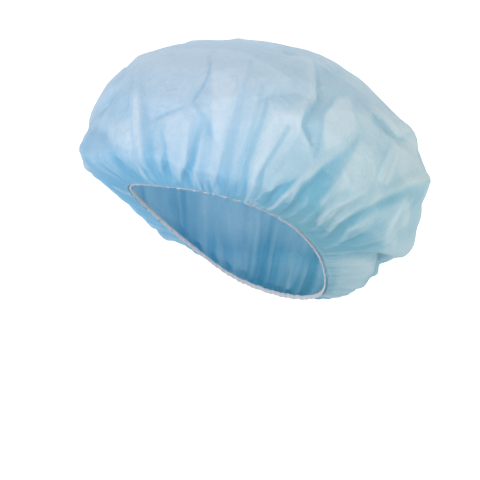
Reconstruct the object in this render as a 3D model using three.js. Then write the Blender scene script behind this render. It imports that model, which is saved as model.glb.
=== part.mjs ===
// Disposable bouffant hair cap: one thin non-woven sheet, puffed up and gathered round its edge on an elastic loop.
// Millimetres. +Z up, -Y the front, +X the left side as worn. The origin is the centre of the opening.
import * as THREE from 'three';

// ---- driving sizes ----
const OPENING_HALF_W = 80; // half width of the opening
const OPENING_HALF_L = 97; // half length of the opening, front to back
const FRONT_HEM_Z = 61;    // hem height at the front
const BACK_HEM_Z = -59;    // hem height at the back
const TOP_Z = 174.5;       // highest point of the puffed sheet
const TOP_Y = 18;          // how far the highest point sits behind the centre of the opening
const WALL = 1.2;          // sheet thickness
const GATHERS = 28;        // main pleats that spring from the elastic
const GATHER_DEPTH = 2.6;  // pleat height at the hem
const GATHER_FADE = 0.3;   // share of the way to the top where the pleats have died away
const BAND_T = 0.9;        // elastic thickness
const BAND_H = 4.0;        // elastic width
const BAND_INSET = 1.7;    // from the hem line to the elastic's outer face
const BAND_DROP = 1.4;     // how far the elastic's lower edge shows under the hem
const AROUND = 112;        // facets around

// ---- sections of the puffed sheet, one row per direction from the front (0 deg) towards the left side as worn ----
// side_lift: rise of the hem. Each pair (r, z): distance from the axis and height of that part of the section.
const SECTION_COLUMNS = ['deg', 'side_lift', 'belly_r', 'belly_z', 'brim_r', 'brim_z', 'shoulder_r', 'shoulder_z', 'crown_r', 'crown_z'];
const SECTIONS = [
  [-150, 4, 124, -42, 179, 54, 126, 129, 63, 165],
  [-120, 14, 134, -8, 167, 58, 124, 131, 66, 166],
  [-90, 15, 112, 26, 141, 66, 117, 135, 70, 167],
  [-60, 9, 110, 52, 129, 77, 111, 140, 73, 168],
  [-30, 3, 112, 67, 127, 90, 108, 143, 73, 168],
  [0, 0, 113, 76, 126, 98, 105, 146, 71, 168],
  [30, 3, 111, 69, 123, 93, 107, 144, 70, 168],
  [60, 9, 109, 48, 128, 81, 113, 141, 71, 168],
  [90, 16, 116, 22, 147, 69, 120, 136, 69, 168],
  [120, 16, 137, -8, 167, 57, 124, 131, 66, 168],
  [150, 4, 124, -45, 177, 54, 126, 129, 64, 167],
  [180, 0, 122, -56, 182, 52, 124, 127, 61, 165],
];

// ---- main folds and dents, one row per fold ----
// Each runs through three places on the sheet (deg round, s from hem 0 to top 1). width and depth are in mm,
// depth > 0 is a ridge and < 0 a valley, sharp is 2 for a round fold and near 1 for a crease.
const FOLD_COLUMNS = ['deg0', 's0', 'deg1', 's1', 'deg2', 's2', 'width', 'depth', 'sharp'];
const FOLDS = [
  // left side
  [61, 0.03, 65, 0.36, 82, 0.52, 9, 6.5, 1.4],
  [82, 0.52, 88, 0.57, 93, 0.62, 9, 4.0, 1.6],
  [52, 0.03, 55, 0.22, 60, 0.42, 8, -4.5, 1.6],
  [71, 0.04, 76, 0.34, 90, 0.49, 13, -7.0, 1.8],
  [90, 0.06, 92, 0.26, 99, 0.39, 10, 5.5, 1.5],
  [99, 0.39, 112, 0.42, 132, 0.44, 11, 4.5, 1.6],
  [101, 0.06, 104, 0.24, 114, 0.34, 11, -6.0, 1.7],
  [114, 0.34, 132, 0.345, 150, 0.35, 10, -7.0, 1.7],
  [110, 0.07, 124, 0.125, 146, 0.15, 8, -10.0, 1.7],
  [106, 0.20, 120, 0.21, 142, 0.225, 9, 5.0, 1.8],
  [110, 0.56, 102, 0.47, 95, 0.40, 9, 3.5, 1.6],
  [98, 0.61, 112, 0.56, 122, 0.58, 8, -4.5, 1.4],
  [112, 0.50, 130, 0.52, 145, 0.50, 12, 4.0, 2.0],
  [112, 0.85, 78, 0.73, 66, 0.63, 9, 4.5, 1.4],
  [66, 0.63, 66, 0.60, 71, 0.57, 8, 3.5, 1.5],
  [100, 0.80, 86, 0.68, 75, 0.60, 13, -3.5, 1.9],
  // front
  [30, 0.10, 26, 0.35, 23, 0.55, 9, -3.5, 1.5],
  [25, 0.55, 20, 0.63, 21, 0.76, 8, -4.0, 1.3],
  [44, 0.08, 42, 0.40, 38, 0.62, 10, 3.5, 1.7],
  [8, 0.12, 3, 0.48, -14, 0.72, 10, 5.0, 1.5],
  [-8, 0.14, -14, 0.46, -26, 0.66, 11, -4.5, 1.7],
  [-26, 0.10, -34, 0.40, -44, 0.60, 10, 3.5, 1.6],
  [-30, 0.56, -52, 0.55, -80, 0.57, 11, -5.0, 1.8],
  [-44, 0.66, -58, 0.67, -72, 0.66, 10, 3.5, 1.8],
  [-30, 0.76, -56, 0.75, -84, 0.76, 12, -2.0, 2.0],
  // right side and back
  [-63, 0.03, -70, 0.34, -86, 0.52, 10, 6.0, 1.5],
  [-76, 0.04, -84, 0.32, -98, 0.48, 12, -6.0, 1.8],
  [-94, 0.06, -98, 0.28, -112, 0.42, 11, 5.0, 1.5],
  [-106, 0.07, -122, 0.13, -146, 0.16, 9, -7.0, 1.6],
  [-112, 0.30, -134, 0.34, -156, 0.33, 11, -6.0, 1.8],
  [-84, 0.60, -98, 0.68, -128, 0.80, 10, 4.0, 1.5],
  [-140, 0.46, -150, 0.58, -148, 0.72, 11, 4.0, 1.6],
  [150, 0.155, 172, 0.17, 190, 0.15, 9, -6.0, 1.6],
  [165, 0.36, 178, 0.52, 172, 0.68, 12, -4.5, 1.7],
  [186, 0.24, 194, 0.42, 198, 0.58, 11, 4.5, 1.6],
  [150, 0.24, 156, 0.40, 152, 0.56, 10, 4.0, 1.6],
  [20, 0.90, 90, 0.92, 160, 0.88, 12, -2.0, 2.0],
];

const named = (columns, rows) => rows.map((row) => Object.fromEntries(columns.map((c, k) => [c, row[k]])));
const sections = named(SECTION_COLUMNS, SECTIONS);
const folds = named(FOLD_COLUMNS, FOLDS);
const RAD = Math.PI / 180;
const TURN = 2 * Math.PI;
const clamp01 = (t) => Math.min(1, Math.max(0, t));
const ease = (t) => { const u = clamp01(t); return u * u * (3 - 2 * u); };

// value of one section column at angle phi, smooth all the way round
function around(phi, column) {
  const n = sections.length;
  const t = ((((phi / RAD - SECTIONS[0][0]) / 30) % n) + n) % n;
  const i = Math.floor(t), f = t - i;
  const [a, b, c, d] = [-1, 0, 1, 2].map((k) => sections[(i + k + n) % n][column]);
  return 0.5 * (2 * b + (c - a) * f + (2 * a - 5 * b + 4 * c - d) * f * f + (3 * b - a - 3 * c + d) * f * f * f);
}
const hemR = (phi) => 1 / Math.hypot(Math.sin(phi) / OPENING_HALF_W, Math.cos(phi) / OPENING_HALF_L);
const hemZ = (phi) => (FRONT_HEM_Z + BACK_HEM_Z) / 2 + ((FRONT_HEM_Z - BACK_HEM_Z) / 2) * Math.cos(phi) + around(phi, 'side_lift');

// the section curve from hem (s = 0) to top (s = 1), through the named parts of the section
const PART_S = [-0.14, 0, 0.14, 0.42, 0.66, 0.84, 1, 1.16];
function profile(phi, s) {
  const p = [[hemR(phi), hemZ(phi)]];
  for (const part of ['belly', 'brim', 'shoulder', 'crown']) p.push([around(phi, part + '_r'), around(phi, part + '_z')]);
  p.push([0, TOP_Z], [-around(phi + Math.PI, 'crown_r'), around(phi + Math.PI, 'crown_z')]);
  p.unshift([2 * p[0][0] - p[1][0], 2 * p[0][1] - p[1][1]]);
  let k = 1;
  while (k < 5 && s > PART_S[k + 1]) k += 1;
  const t = [PART_S[k - 1], PART_S[k], PART_S[k + 1], PART_S[k + 2]];
  const q = [p[k - 1], p[k], p[k + 1], p[k + 2]];
  const lerp = (a, b, ta, tb) => a.map((v, m) => ((tb - s) * v + (s - ta) * b[m]) / (tb - ta));
  const a1 = lerp(q[0], q[1], t[0], t[1]), a2 = lerp(q[1], q[2], t[1], t[2]), a3 = lerp(q[2], q[3], t[2], t[3]);
  return lerp(lerp(a1, a2, t[0], t[2]), lerp(a2, a3, t[1], t[3]), t[1], t[2]);
}
function smooth(phi, s) {
  const [r, z] = profile(phi, s);
  return new THREE.Vector3(r * Math.sin(phi), -r * Math.cos(phi) + TOP_Y * ease((s - 0.3) / 0.7), z);
}
function smoothNormal(phi, s) {
  if (s > 0.999) return new THREE.Vector3(0, 0, 1);
  const h = 0.004;
  const round = smooth(phi + h, s).sub(smooth(phi - h, s));
  const up = smooth(phi, Math.min(1, s + h)).sub(smooth(phi, Math.max(0, s - h)));
  return round.cross(up).normalize();
}
const SLOPE = 300;  // mm of sheet from hem to top, for measuring across a fold

// distance on the sheet from (phi, s) to a fold's line
function away(fold, phi, s, r) {
  const at = [0, 1, 2].map((k) => {
    let d = (fold['deg' + k] * RAD - phi) % TURN;
    if (d > Math.PI) d -= TURN;
    if (d < -Math.PI) d += TURN;
    return [d * r, (fold['s' + k] - s) * SLOPE];
  });
  let best = Infinity;
  for (const [a, b] of [[at[0], at[1]], [at[1], at[2]]]) {
    const e = [b[0] - a[0], b[1] - a[1]];
    if (Math.abs(e[0]) > Math.PI * r) continue;
    const t = clamp01(-(a[0] * e[0] + a[1] * e[1]) / (e[0] * e[0] + e[1] * e[1]));
    best = Math.min(best, Math.hypot(a[0] + t * e[0], a[1] + t * e[1]));
  }
  return best;
}
function relief(phi, s) {
  const r = Math.max(1, Math.abs(profile(phi, s)[0]));
  let h = 0;
  for (const fold of folds) {
    const d = away(fold, phi, s, r) / fold.width;
    if (d < 4) h += fold.depth * Math.exp(-Math.pow(d, fold.sharp));
  }
  h *= ease(s / 0.07);
  const wander = 0.5 * Math.sin(3 * phi + 0.6) + 0.35 * Math.sin(7 * phi + 2.1);
  const pleat = 0.5 + 0.5 * Math.cos(GATHERS * phi + wander + 2.2 * s);
  return h + GATHER_DEPTH * pleat * (1 - ease(s / GATHER_FADE));
}

// ---- the sheet: rings of points from hem to top, fewer points in the small rings at the top ----
const RINGS = [0, 0.028, 0.06, 0.1, 0.145, 0.195, 0.25, 0.31, 0.37, 0.43, 0.49, 0.55, 0.61, 0.67, 0.73, 0.79, 0.845]
  .map((s) => [s, AROUND]).concat([[0.89, AROUND / 2], [0.93, AROUND / 2], [0.965, AROUND / 4]]);

function sheetPoints() {
  const outer = RINGS.map(([s, n]) => Array.from({ length: n }, (_, i) => {
    const phi = (i / n) * TURN;
    return smooth(phi, s).addScaledVector(smoothNormal(phi, s), relief(phi, s));
  }));
  const top = new THREE.Vector3(0, TOP_Y, TOP_Z);
  const inner = outer.map((ring, k) => ring.map((p, i) => {
    const n = ring.length;
    const near = (other) => other[Math.round((i * other.length) / n) % other.length];
    const round = ring[(i + 1) % n].clone().sub(ring[(i + n - 1) % n]);
    const above = k + 1 < outer.length ? near(outer[k + 1]) : top;
    const below = k > 0 ? near(outer[k - 1]) : p;
    return p.clone().addScaledVector(round.cross(above.clone().sub(below)).normalize(), -WALL);
  }));
  return { outer, inner, top, innerTop: top.clone().setZ(TOP_Z - WALL) };
}

// rows of points to one closed surface
class Surface {
  constructor() { this.points = []; this.faces = []; }
  ring(points) { return points.map((p) => this.points.push(p) - 1); }
  face(flip, a, b, c) { this.faces.push(flip ? [a, c, b] : [a, b, c]); }
  bridge(low, high, flip) {
    const n = high.length, two = low.length === 2 * n;
    for (let i = 0; i < n; i += 1) {
      const j = (i + 1) % n;
      if (two) {
        const [a, b, c] = [low[2 * i], low[2 * i + 1], low[(2 * i + 2) % low.length]];
        this.face(flip, a, b, high[i]);
        this.face(flip, b, high[j], high[i]);
        this.face(flip, b, c, high[j]);
      } else {
        this.face(flip, low[i], low[j], high[j]);
        this.face(flip, low[i], high[j], high[i]);
      }
    }
  }
  cap(ring, tip, flip) {
    const t = this.points.push(tip) - 1;
    ring.forEach((a, i) => this.face(flip, a, ring[(i + 1) % ring.length], t));
  }
  mesh(name, colour, roughness) {
    const g = new THREE.BufferGeometry();
    g.setAttribute('position', new THREE.Float32BufferAttribute(this.points.flatMap((p) => [p.x, p.y, p.z]), 3));
    g.setIndex(this.faces.flat());
    g.computeVertexNormals();
    const m = new THREE.Mesh(g, new THREE.MeshStandardMaterial({ color: colour, roughness, metalness: 0 }));
    m.name = name;
    return m;
  }
}

function crown() {
  const { outer, inner, top, innerTop } = sheetPoints();
  const body = new Surface();
  const out = outer.map((r) => body.ring(r)), ins = inner.map((r) => body.ring(r));
  for (let k = 0; k + 1 < out.length; k += 1) {
    body.bridge(out[k], out[k + 1], false);
    body.bridge(ins[k], ins[k + 1], true);
  }
  body.cap(out[out.length - 1], top, false);
  body.cap(ins[ins.length - 1], innerTop, true);
  body.bridge(ins[0], out[0], false);
  return body.mesh('crown', 0xaecfe2, 0.85);
}

function elasticBand() {
  const body = new Surface();
  const at = (inset, lift) => Array.from({ length: AROUND }, (_, i) => {
    const phi = (i / AROUND) * TURN, r = hemR(phi) - inset;
    return new THREE.Vector3(r * Math.sin(phi), -r * Math.cos(phi), hemZ(phi) + lift);
  });
  const corners = [[BAND_INSET, -BAND_DROP], [BAND_INSET, BAND_H - BAND_DROP], [BAND_INSET + BAND_T, BAND_H - BAND_DROP], [BAND_INSET + BAND_T, -BAND_DROP]];
  const rings = corners.map(([inset, lift]) => body.ring(at(inset, lift)));
  rings.forEach((ring, k) => body.bridge(ring, rings[(k + 1) % rings.length], false));
  return body.mesh('elastic_band', 0xe6e4e6, 0.7);
}

const object = new THREE.Group();
object.name = 'bouffant_cap';
object.add(crown(), elasticBand());
export default object;
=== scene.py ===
# Looks of the disposable bouffant cap: one thin non-woven sheet with its folds, gathered on an elastic loop.
import math

import bpy
import numpy as np
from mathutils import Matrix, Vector


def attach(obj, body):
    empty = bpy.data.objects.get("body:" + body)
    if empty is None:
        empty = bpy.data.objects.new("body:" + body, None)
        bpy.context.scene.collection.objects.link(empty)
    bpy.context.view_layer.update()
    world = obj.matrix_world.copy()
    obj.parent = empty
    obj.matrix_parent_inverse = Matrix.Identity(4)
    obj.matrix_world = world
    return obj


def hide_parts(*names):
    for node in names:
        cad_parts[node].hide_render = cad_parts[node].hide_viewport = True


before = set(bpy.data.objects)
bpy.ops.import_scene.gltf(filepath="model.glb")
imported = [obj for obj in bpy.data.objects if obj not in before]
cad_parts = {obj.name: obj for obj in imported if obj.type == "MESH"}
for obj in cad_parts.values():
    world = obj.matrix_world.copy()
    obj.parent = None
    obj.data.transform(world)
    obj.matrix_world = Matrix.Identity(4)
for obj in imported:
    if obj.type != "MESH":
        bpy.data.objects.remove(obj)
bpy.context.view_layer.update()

F = np.float32
# ---------------------------------------------------------------- sizes, in millimetres
HALF_W, HALF_L = 80.0, 97.0          # half width and half length of the opening
FRONT_Z, BACK_Z = 61.0, -59.0        # hem height at the front and the back
TOP_Z, TOP_Y = 174.5, 18.0           # highest point
SHEET_R = 305.0                      # the flat sheet is a disc of this radius
POLE = 68.0                          # the worn top is this far forward of the disc's centre
THICK = 0.24                         # sheet thickness
AROUND, ROWS = 640, 86               # points round the sheet, rows from hem to top
BAND_T, BAND_H, BAND_INSET, BAND_DROP = 0.9, 4.0, 1.7, 1.4

# deg, side_lift, belly r z, brim r z, shoulder r z, crown r z: one row per direction, 0 at the front
SECTIONS = np.array([
    [-150, 4, 124, -42, 179, 54, 126, 129, 63, 165],
    [-120, 14, 134, -8, 167, 58, 124, 131, 66, 166],
    [-90, 15, 112, 26, 141, 66, 117, 135, 70, 167],
    [-60, 9, 110, 52, 129, 77, 111, 140, 73, 168],
    [-30, 3, 112, 67, 127, 90, 108, 143, 73, 168],
    [0, 0, 113, 76, 126, 98, 105, 146, 71, 168],
    [30, 3, 111, 69, 123, 93, 107, 144, 70, 168],
    [60, 9, 109, 48, 128, 81, 113, 141, 71, 168],
    [90, 16, 116, 22, 147, 69, 120, 136, 69, 168],
    [120, 16, 137, -8, 167, 57, 124, 131, 66, 168],
    [150, 4, 124, -45, 177, 54, 126, 129, 64, 167],
    [180, 0, 122, -56, 182, 52, 124, 127, 61, 165],
], float)

# folds: height (+ ridge, - valley), reach to its left and right in mm, share of the height at start and end,
# share of the reach at the start, and the line it follows as (degrees from the front, s from hem 0 to top 1)
FOLDS = [
    # folds begin
    (2, 20, 6, 0.5, 0.2, 0.4, [(-3, 0.012), (0.5, 0.19), (2, 0.4), (-1.5, 0.512), (-6, 0.585), (-12.5, 0.652), (-20, 0.72)]),
    (-1.3, 7, 14, 0.6, 0.2, 0.4, [(0, 0.012), (5.5, 0.26), (4.5, 0.43), (1.5, 0.532), (-3.5, 0.605), (-9.5, 0.667)]),
    (-1.2, 8, 6, 0.4, 0.2, 1, [(-12, 0.557), (-14.5, 0.603), (-21.5, 0.688)]),
    (-0.8, 5, 5, 0.4, 0.4, 1, [(-7, 0.458), (-4, 0.417), (-0.5, 0.37)]),
    (-0.6, 4, 4, 0.4, 0.4, 1, [(-8, 0.53), (-4, 0.478), (-3, 0.413)]),
    (1.2, 5, 5, 0.6, 0.1, 0.6, [(-6, 0.012), (-1, 0.233), (-2, 0.388)]),
    (1.2, 4, 4, 0.6, 0.1, 0.6, [(-1.5, 0.012), (1, 0.138), (2.5, 0.343)]),
    (-1.5, 8, 8, 0.5, 0.2, 0.5, [(-13, 0.012), (-11.5, 0.188), (-14.5, 0.39), (-21.5, 0.453)]),
    (1.1, 7, 7, 0.5, 0.2, 0.5, [(-20.5, 0.012), (-19.5, 0.147), (-21, 0.328)]),
    (-2, 9, 9, 0.3, 1, 1, [(-14.5, 0.393), (-19, 0.458), (-27, 0.49), (-36, 0.503), (-52, 0.505), (-70, 0.5)]),
    (1, 7, 7, 0.3, 0.3, 1, [(-14.5, 0.475), (-19.5, 0.522), (-26.5, 0.562)]),
    (-2.2, 7, 10, 0.6, 0.15, 0.5, [(7.5, 0.012), (12.5, 0.292), (11, 0.443), (8.5, 0.51)]),
    (2.2, 16, 6, 0.5, 0.3, 0.4, [(14.5, 0.012), (20, 0.323), (20, 0.475), (19.5, 0.55), (19, 0.6)]),
    (-2.2, 6, 7, 0.6, 0.2, 0.5, [(17.5, 0.012), (23, 0.335), (23.5, 0.458), (24, 0.525)]),
    (1.7, 6, 9, 0.5, 0.3, 0.5, [(23, 0.012), (26, 0.388), (26.5, 0.49), (26, 0.547)]),
    (-1.9, 12, 10, 1, 0.4, 1, [(20, 0.61), (20, 0.645), (22, 0.71), (20.5, 0.802), (8.5, 0.902)]),
    (1.2, 8, 6, 0.6, 0.4, 1, [(19.5, 0.613), (23, 0.585), (26.5, 0.562)]),
    (-1.9, 7, 8, 0.2, 0.4, 1, [(31, 0.47), (29, 0.522), (27, 0.568)]),
    (-0.8, 5, 5, 0.2, 0.4, 1, [(2.5, 0.53), (9, 0.562), (16, 0.59)]),
    (1.9, 24, 8, 0.4, 0.3, 0.35, [(31, 0.012), (34, 0.388), (35, 0.463), (36.5, 0.547), (39.5, 0.672), (45.5, 0.825)]),
    (-1.2, 6, 18, 0.5, 0.3, 0.4, [(36.5, 0.012), (38, 0.378), (38.5, 0.463), (40, 0.55), (43, 0.675), (49, 0.812)]),
    (1.4, 14, 5, 0.2, 0.3, 0.7, [(42.5, 0.41), (44, 0.478), (47, 0.58), (50.5, 0.695)]),
    (1.4, 6, 12, 0.5, 0.3, 0.5, [(42, 0.012), (44.5, 0.352), (46, 0.432), (50, 0.547), (53.5, 0.623)]),
    (1.7, 12, 8, 0.5, 0.2, 0.5, [(48, 0.012), (49, 0.352), (52.5, 0.453), (56, 0.508), (60.5, 0.565)]),
    (-1.2, 8, 12, 0.5, 0.2, 0.5, [(51.5, 0.012), (51.5, 0.333), (55, 0.438), (58.5, 0.492), (62.5, 0.547)]),
    (-1.2, 6, 8, 0.5, 0.2, 0.5, [(54, 0.012), (54, 0.312), (58, 0.427), (62.5, 0.487), (65.5, 0.508)]),
    (1, 5, 9, 0.5, 0.2, 0.5, [(56.5, 0.012), (56, 0.305), (60.5, 0.425), (65.5, 0.47)]),
    (-1.2, 10, 8, 0.3, 0.6, 1, [(48.5, 0.64), (54.5, 0.655), (63, 0.667), (71, 0.682)]),
    (1.2, 20, 14, 0.3, 0.6, 1, [(-48.5, 0.873), (1.5, 0.915), (38.5, 0.888), (49, 0.858), (57, 0.8), (63.5, 0.75), (69, 0.705), (71, 0.68)]),
    (3.1, 6, 14, 0.4, 0.5, 1, [(104.5, 0.84), (83, 0.77), (74.5, 0.69), (74, 0.66), (69, 0.625), (66, 0.59), (65, 0.565), (67, 0.535), (69, 0.51)]),
    (-2.4, 14, 5, 0.4, 0.3, 1, [(101, 0.815), (81, 0.73), (76.5, 0.66), (71, 0.61), (68.5, 0.583), (70, 0.542), (71.5, 0.51)]),
    (1.8, 12, 6, 0.3, 0.3, 1, [(86.5, 0.675), (78, 0.623), (74.5, 0.578), (72.5, 0.5)]),
    (2.5, 6, 15, 0.4, 0.2, 0.35, [(61, 0.012), (60.5, 0.223), (63.5, 0.32), (66, 0.38), (70.5, 0.435), (75, 0.473), (81, 0.512), (86, 0.537), (92, 0.562)]),
    (-3.8, 9, 5, 0.8, 0.1, 0.5, [(57.5, 0.012), (57, 0.225), (60.5, 0.34), (64.5, 0.405)]),
    (-3.8, 10, 16, 0.7, 0.3, 0.4, [(68, 0.012), (67, 0.24), (71, 0.37), (77, 0.453), (83.5, 0.51), (92, 0.552)]),
    (1.3, 8, 12, 0.35, 0.3, 0.4, [(80, 0.012), (75.5, 0.193), (77, 0.302), (79, 0.383), (81.5, 0.453), (85, 0.503)]),
    (-1.5, 8, 8, 0.5, 0.2, 0.4, [(86, 0.012), (78, 0.23), (82, 0.325), (86, 0.393), (88.5, 0.443)]),
    (1.8, 10, 7, 0.4, 0.3, 0.35, [(88, 0.012), (80, 0.217), (85, 0.315), (89.5, 0.362), (93, 0.405), (96.5, 0.445), (102.5, 0.505), (109.5, 0.542)]),
    (-1.8, 6, 10, 0.6, 0.2, 0.35, [(93, 0.012), (84.5, 0.205), (87.5, 0.288), (93, 0.348), (97, 0.4)]),
    (1.9, 10, 9, 0.35, 0.6, 0.35, [(98.5, 0.012), (87, 0.168), (88.5, 0.268), (93.5, 0.335), (101, 0.38), (111, 0.417), (129, 0.422), (145, 0.44), (165, 0.45)]),
    (-2, 8, 12, 0.5, 0.5, 0.35, [(101.5, 0.012), (90.5, 0.165), (92, 0.253), (97, 0.318), (104.5, 0.37), (119.5, 0.408)]),
    (1.2, 6, 7, 0.35, 0.2, 0.5, [(109, 0.012), (96, 0.135), (94.5, 0.215), (94, 0.26)]),
    (-2, 7, 9, 0.5, 0.2, 0.5, [(114.5, 0.012), (103.5, 0.1), (101, 0.163), (102, 0.217)]),
    (2.2, 14, 8, 0.4, 0.3, 1, [(118, 0.145), (109, 0.195), (106, 0.258), (107, 0.315), (109.5, 0.362)]),
    (-2.5, 8, 9, 0.3, 0.9, 1, [(116.5, 0.193), (111, 0.26), (111.5, 0.315), (117, 0.345), (130, 0.35), (150, 0.345)]),
    (-2.4, 9, 7, 0.4, 0.35, 1, [(104.5, 0.618), (106, 0.59), (109.5, 0.557), (113.5, 0.537), (122.5, 0.547), (131, 0.545), (148, 0.55)]),
    (2.4, 4, 7, 0.4, 0.5, 1, [(109.5, 0.63), (114.5, 0.593), (120.5, 0.555), (148, 0.575)]),
    (-4.5, 7, 9, 0.7, 0.8, 1, [(122.5, 0.018), (120, 0.07), (125, 0.135), (140, 0.15), (158, 0.15)]),
    (2, 8, 6, 0.3, 0.6, 1, [(111.5, 0.052), (110, 0.11), (117, 0.155), (126, 0.198), (142, 0.21), (160, 0.215)]),
    (1.5, 8, 10, 0.6, 0.3, 0.6, [(139.5, 0.012), (133.5, 0.033), (125.5, 0.072)]),
    (-1.1, 6, 6, 0.3, 0.3, 1, [(145, 0.052), (135, 0.062), (125.5, 0.07)]),
    (0.8, 4, 4, 0.3, 0.3, 1, [(82, 0.45), (83.5, 0.422), (86, 0.375)]),
    (1.2, 2.2, 2.2, 0.7, 0.1, 0.8, [(61, 0.012), (60.5, 0.223), (63.5, 0.32), (66, 0.38), (70.5, 0.435), (75, 0.473)]),
    (1, 2.4, 2.4, 0.9, 0.2, 0.8, [(88, 0.012), (80, 0.217), (85, 0.315), (89.5, 0.362)]),
    (0.8, 2.4, 2.4, 0.8, 0.2, 0.8, [(109, 0.012), (96, 0.135), (94.5, 0.215)]),
    (0.9, 2.4, 2.6, 0.7, 0.2, 0.8, [(98.5, 0.012), (87, 0.168), (88.5, 0.268), (92, 0.315)]),
    (1.2, 2.6, 2.4, 0.1, 0.3, 0.9, [(2.5, 0.362), (2, 0.4), (-1.5, 0.512), (-6, 0.585)]),
    (1.3, 2.4, 2.4, 0.8, 0.2, 0.8, [(14.5, 0.012), (20, 0.323), (20, 0.475)]),
    (1.3, 2.4, 2.4, 0.8, 0.3, 0.8, [(31, 0.012), (34, 0.388), (35, 0.463), (36.5, 0.547)]),
    (1.3, 2.6, 2.6, 0.3, 0.3, 1, [(96, 0.417), (100, 0.475), (108.5, 0.535)]),
    (-0.8, 2.4, 2.4, 0.5, 0.4, 1, [(20, 0.618), (22, 0.71), (20.5, 0.802), (8.5, 0.902)]),
    (-0.9, 2.2, 2.2, 0.3, 0.6, 1, [(2.5, 0.53), (9, 0.562), (16, 0.59)]),
    (1.4, 2.8, 2.4, 0.3, 0.6, 1, [(78.5, 0.738), (74.5, 0.69), (74, 0.66), (69, 0.625), (66, 0.59), (65, 0.565), (67, 0.535), (69, 0.51)]),
    # folds end
]

# broad dents and swells that set the outline, in the same columns
DENTS = [
    # dents begin
    (-11, 40, 40, 0.3, 0.3, 1, [(-45, 0.628), (-39, 0.575), (-36, 0.522)]),
    (-3, 38, 38, 0.3, 0.3, 1, [(-47.5, 0.68), (-41.5, 0.73), (-41, 0.787)]),
    (-7, 40, 40, 0.7, 0.3, 1, [(-52, 0.283), (-64, 0.173), (-67.5, 0.09)]),
    (-6.8, 46, 46, 0.4, 0.3, 1, [(110, 0.825), (109, 0.763), (112, 0.705), (120.5, 0.63)]),
    (-6, 24, 24, 0.4, 0.5, 1, [(95.5, 0.907), (100, 0.883), (104.5, 0.86)]),
    (-5, 24, 24, 0.5, 0.5, 1, [(121.5, 0.283), (122.5, 0.235)]),
    (-9.5, 17, 8, 0.6, 0.1, 1, [(118, 0.075), (123.5, 0.115), (131.5, 0.147), (142, 0.19), (160, 0.215), (185, 0.22), (205, 0.21), (222, 0.17), (240, 0.12)]),
    (3.5, 20, 20, 0.5, 0.6, 1, [(-46.5, 0.463), (-46.5, 0.422), (-46, 0.343)]),
    (5, 16, 16, 0.5, 0.8, 1, [(119, 0.18), (126, 0.205), (142, 0.27), (160, 0.3)]),
    (4.5, 14, 14, 0.4, 0.6, 1, [(151, 0.075), (148, 0.105)]),
    (4.5, 16, 10, 0.4, 0.8, 1, [(113.5, 0.41), (128.5, 0.415)]),
    (6, 18, 14, 0.4, 0.9, 1, [(120, 0.575), (131, 0.535)]),
    (-4.5, 40, 40, 0.5, 0.4, 1, [(-61, 0.7), (-62, 0.755), (-64, 0.81)]),
    (-3.6, 44, 44, 0.55, 0.6, 1, [(137, 0.8), (136.5, 0.74), (137, 0.68), (133, 0.62)]),
    (-2.6, 26, 26, 0.7, 0.6, 1, [(158, 0.9), (151, 0.885), (146, 0.865), (143, 0.845)]),
    # dents end
]

# bands of deeper colour, partly where the sheet lies folded over itself and partly painted shade beside folds and in
# creases: strength, then the same columns as above
BANDS = [
    # bands begin
    (0.5, 2, 1, 0.6, 0.5, 1, [(42.5, 0.408), (44.5, 0.478), (47.5, 0.58), (51, 0.695)]),
    (0.3, 42, 0, 0.6, 0.5, 1, [(-53, 0.863), (1.5, 0.915), (38.5, 0.888), (49, 0.858), (57, 0.8), (63.5, 0.75), (69, 0.705), (71.5, 0.68)]),
    (0.36, 0.8, 1.2, 0.6, 0.3, 1, [(20, 0.61), (20, 0.645), (22, 0.71), (20.5, 0.802), (8.5, 0.902)]),
    (0.42, 0.7, 0.9, 0.3, 0.8, 1, [(2.5, 0.53), (9, 0.562), (16, 0.59)]),
    (0.5, 0.5, 0.7, 0.5, 0.4, 1, [(-12, 0.557), (-14.5, 0.603), (-21.5, 0.688)]),
    (0.4, 2.4, 2.4, 0.5, 0.9, 1, [(98.5, 0.823), (84.5, 0.76), (77.5, 0.698)]),
    (0.8, 0.9, 0.4, 0.5, 0.8, 1, [(78, 0.715), (76, 0.69), (75.5, 0.655), (70, 0.623), (67, 0.588), (66.5, 0.562), (68, 0.535), (70.5, 0.508)]),
    (0.5, 0.4, 0.8, 0.5, 0.5, 1, [(19.5, 0.613), (24, 0.578), (27.5, 0.545), (29.5, 0.505)]),
    (0.5, 0.9, 0.4, 0.5, 0.7, 1, [(104.5, 0.61), (106.5, 0.585), (110.5, 0.552), (114, 0.535)]),
    (0.35, 0.8, 0.8, 0.5, 0.5, 1, [(48.5, 0.64), (54.5, 0.655), (63, 0.667)]),
    (0.62, 1.5, 1.5, 0.5, 0.7, 1, [(99, 0.685), (85.5, 0.665), (80.5, 0.635), (75.5, 0.603), (74, 0.568), (73, 0.522), (71.5, 0.48)]),
    (0.5, 0.8, 0.8, 0.7, 0.7, 1, [(115.5, 0.54), (131, 0.545)]),
    (0.6, 0.8, 0.8, 0.5, 0.5, 1, [(107, 0.537), (99, 0.482), (94.5, 0.42)]),
    (0.55, 0.8, 0.8, 0.5, 0.5, 1, [(112.5, 0.53), (103.5, 0.478), (98.5, 0.408)]),
    (0.34, 2.4, 2.4, 0.5, 0.4, 1, [(129, 0.445), (114.5, 0.443), (106.5, 0.42), (98, 0.385)]),
    # bands end
]
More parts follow.
